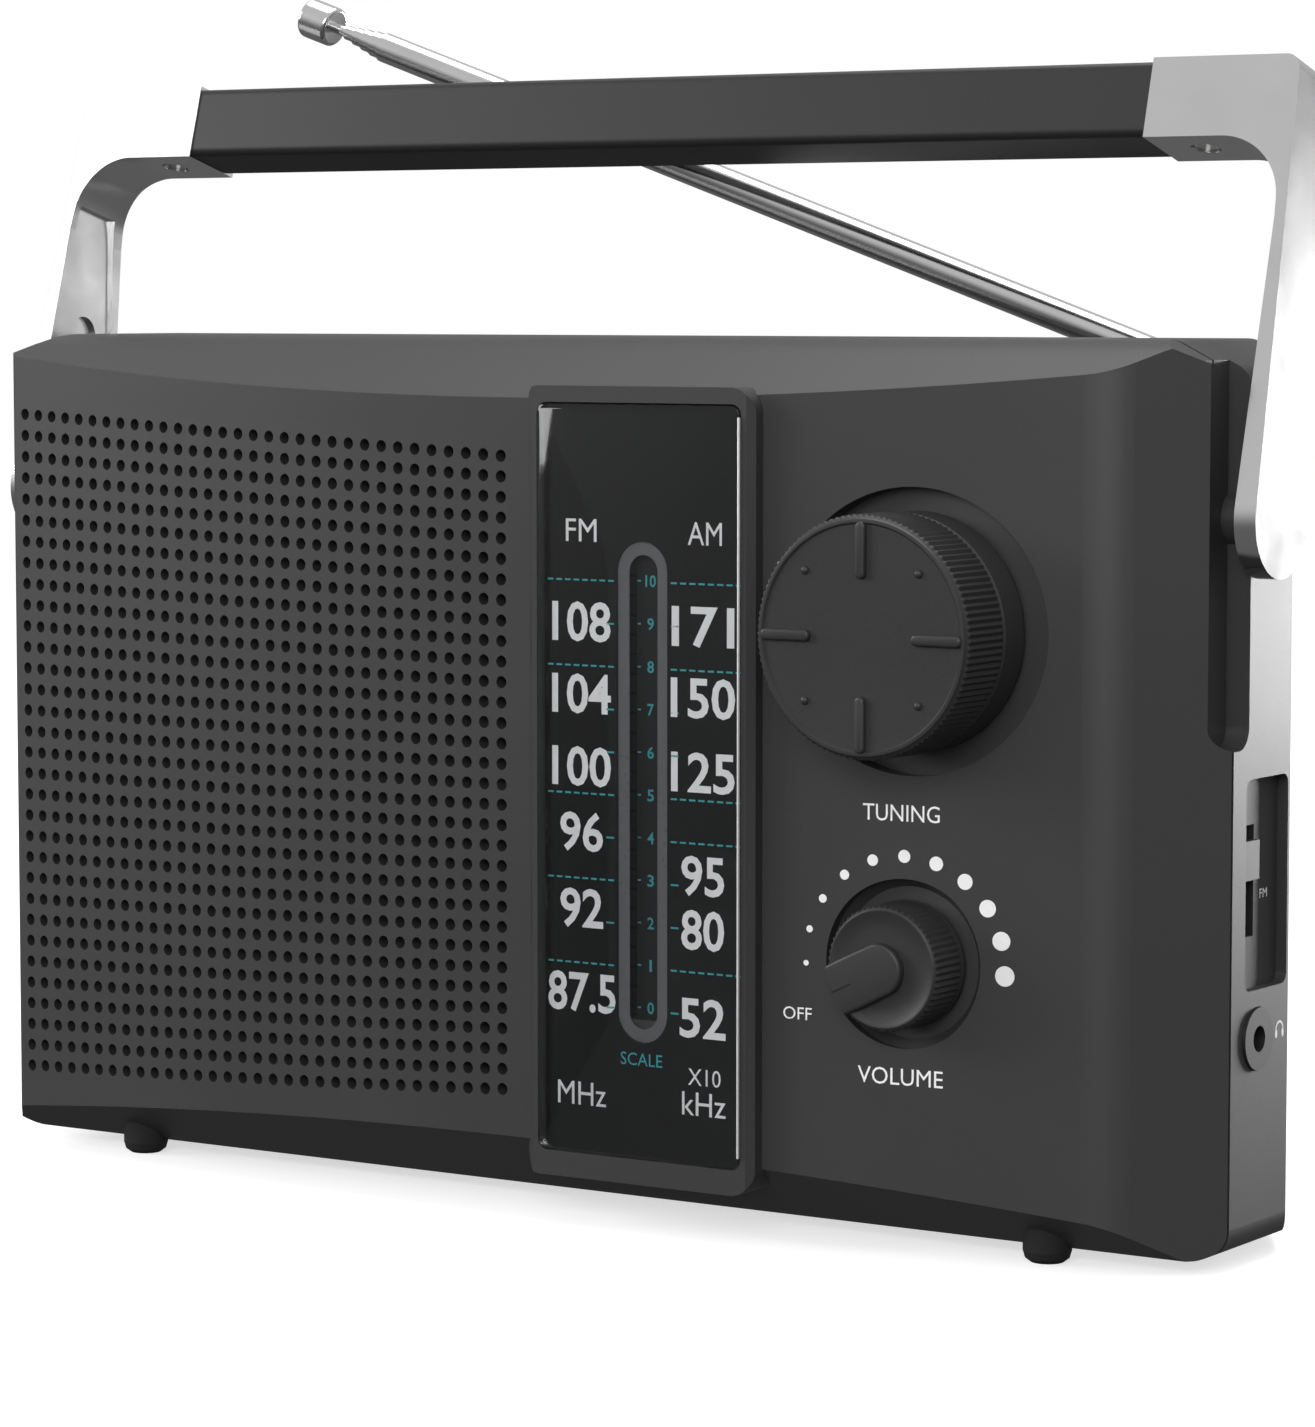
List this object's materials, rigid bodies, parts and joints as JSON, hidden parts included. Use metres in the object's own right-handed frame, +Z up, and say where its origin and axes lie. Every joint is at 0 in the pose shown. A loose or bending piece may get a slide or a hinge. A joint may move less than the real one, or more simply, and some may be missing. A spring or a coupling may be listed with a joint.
{
  "type": "portable radio",
  "caption": "Portable two-band radio with a perforated speaker panel, upright tuning dial, turned control knobs, pull-up carrying handle and telescopic aerial.",
  "frame": {"origin": "on the surface the radio stands on, below the middle of the case's width; the seam between the case halves is 13 mm in front of it", "axes": "+X to the right seen from the front, -Y out of the front, +Z up"},
  "size_m": [0.2154, 0.0717, 0.1784],
  "materials": {
    "case_plastic": "fine matt moulding texture",
    "clear_window": "clear polished plastic",
    "dial_black": "printed gloss plate",
    "pointer_grey": "moulded",
    "knob_plastic": "matt with knurled rims",
    "chrome_plate": "bright plating",
    "grip_plastic": "satin moulding",
    "rubber_black": "matt",
    "zinc_steel": "zinc plated",
    "nylon_white": "natural nylon",
    "board_green": "lacquered laminate",
    "can_aluminium": "drawn",
    "sleeve_blue": "shrunk sleeve",
    "ferrite_grey": "sintered",
    "copper_wire": "enamelled winding",
    "lamination_steel": "varnished laminations",
    "cone_paper": "pressed pulp",
    "cell_jacket": "printed jacket, plain",
    "black_plastic": "moulded",
    "contact_brass": "bright"
  },
  "bodies": {
    "root": {"front_shell": "case_plastic", "rear_shell": "case_plastic", "speaker_grille": "case_plastic", "dial_lens": "clear_window", "dial_plate": "dial_black", "pointer_rail": "zinc_steel", "tuning_bush": "nylon_white", "tuning_capacitor": "nylon_white", "idler_pins": "zinc_steel", "dial_cord": "nylon_white", "volume_control": "zinc_steel", "main_circuit_board": "board_green", "board_screws": "zinc_steel", "if_transformers": "can_aluminium", "filter_capacitors": "sleeve_blue", "ferrite_rod": "ferrite_grey", "aerial_coil": "copper_wire", "ferrite_holders": "nylon_white", "mains_transformer": "lamination_steel", "speaker_frame": "zinc_steel", "speaker_cone": "cone_paper", "speaker_dust_cap": "cone_paper", "speaker_magnet": "ferrite_grey", "battery_cells": "cell_jacket", "battery_tray": "black_plastic", "battery_contacts": "zinc_steel", "battery_springs": "zinc_steel", "door_hinge_pins": "zinc_steel", "shell_screws": "zinc_steel", "mains_inlet": "black_plastic", "inlet_pins": "contact_brass", "headphone_jack": "black_plastic", "band_switch_case": "black_plastic", "rubber_feet": "rubber_black", "handle_pins": "zinc_steel", "aerial_socket": "chrome_plate"},
    "tuning": {"tuning_knob": "knob_plastic", "tuning_shaft": "zinc_steel", "tuning_drum": "nylon_white"},
    "lower_pulley": {"lower_idler": "nylon_white"},
    "upper_pulley": {"upper_idler": "nylon_white"},
    "pointer": {"dial_pointer": "pointer_grey"},
    "volume": {"volume_knob": "knob_plastic", "volume_shaft": "zinc_steel"},
    "band_switch": {"band_switch_button": "knob_plastic"},
    "battery_lid": {"battery_door": "case_plastic"},
    "handle_shoes": {"right_handle_shoe": "nylon_white", "left_handle_shoe": "nylon_white"},
    "handle": {"right_handle_end": "chrome_plate", "left_handle_end": "chrome_plate", "handle_grip": "grip_plastic", "handle_end_screws": "zinc_steel"},
    "aerial_base": {"aerial_swivel": "chrome_plate", "elbow_pin": "zinc_steel"},
    "aerial": {"aerial_tube": "chrome_plate"},
    "aerial_1": {"aerial_section_1": "chrome_plate"},
    "aerial_2": {"aerial_section_2": "chrome_plate"},
    "aerial_3": {"aerial_section_3": "chrome_plate"},
    "aerial_4": {"aerial_section_4": "chrome_plate"},
    "aerial_5": {"aerial_tip": "chrome_plate"}
  },
  "joints": [
    {"name": "tuning_turn", "type": "hinge", "parent": "root", "child": "tuning", "pos_m": [0.0628, -0.03, 0.0864], "axis": [0, 1, 0], "range_deg": [0, 180]},
    {"name": "pointer_slide", "type": "slide", "parent": "root", "child": "pointer", "axis": [0, 0, 1], "range_m": [0, 0.0618]},
    {"name": "lower_idler_turn", "type": "hinge", "parent": "root", "child": "lower_pulley", "pos_m": [0.024, -0.0195, 0.021], "axis": [0, 1, 0], "range_deg": [0, 1026]},
    {"name": "upper_idler_turn", "type": "hinge", "parent": "root", "child": "upper_pulley", "pos_m": [0.024, -0.0195, 0.1026], "axis": [0, 1, 0], "range_deg": [0, 1026]},
    {"name": "volume_turn", "type": "hinge", "parent": "root", "child": "volume", "pos_m": [0.0618, -0.03, 0.0409], "axis": [0, 1, 0], "range_deg": [0, 220]},
    {"name": "band_switch_slide", "type": "slide", "parent": "root", "child": "band_switch", "axis": [0, 0, -1], "range_m": [0, 0.0075]},
    {"name": "battery_door_hinge", "type": "hinge", "parent": "root", "child": "battery_lid", "pos_m": [0, 0.0294, 0.0082], "axis": [-1, 0, 0], "range_deg": [0, 90]},
    {"name": "handle_tilt", "type": "hinge", "parent": "root", "child": "handle_shoes", "pos_m": [0, -0.0062, 0.1019], "axis": [1, 0, 0], "range_deg": [0, 16]},
    {"name": "handle_slide", "type": "slide", "parent": "handle_shoes", "child": "handle", "axis": [0, -0.2756, -0.9613], "range_m": [0, 0.024]},
    {"name": "aerial_swivel_turn", "type": "hinge", "parent": "root", "child": "aerial_base", "pos_m": [0.081, 0.02, 0.118], "axis": [0, 0, -1], "range_deg": [0, 180]},
    {"name": "aerial_elbow", "type": "hinge", "parent": "aerial_base", "child": "aerial", "pos_m": [0.081, 0.02, 0.1215], "axis": [0, 1, 0], "range_deg": [-19.2, 90]},
    {"name": "aerial_pull_1", "type": "slide", "parent": "aerial", "child": "aerial_1", "axis": [-0.9444, 0, 0.3289], "range_m": [0, 0.125]},
    {"name": "aerial_pull_2", "type": "slide", "parent": "aerial_1", "child": "aerial_2", "axis": [-0.9444, 0, 0.3289], "range_m": [0, 0.125]},
    {"name": "aerial_pull_3", "type": "slide", "parent": "aerial_2", "child": "aerial_3", "axis": [-0.9444, 0, 0.3289], "range_m": [0, 0.125]},
    {"name": "aerial_pull_4", "type": "slide", "parent": "aerial_3", "child": "aerial_4", "axis": [-0.9444, 0, 0.3289], "range_m": [0, 0.125]},
    {"name": "aerial_pull_5", "type": "slide", "parent": "aerial_4", "child": "aerial_5", "axis": [-0.9444, 0, 0.3289], "range_m": [0, 0.125]}
  ],
  "couplings": [
    {"joint": "pointer_slide", "follows": "tuning_turn", "m_per_rad": 0.01965},
    {"joint": "lower_idler_turn", "follows": "tuning_turn", "ratio": 5.6956},
    {"joint": "upper_idler_turn", "follows": "tuning_turn", "ratio": 5.6956}
  ]
}
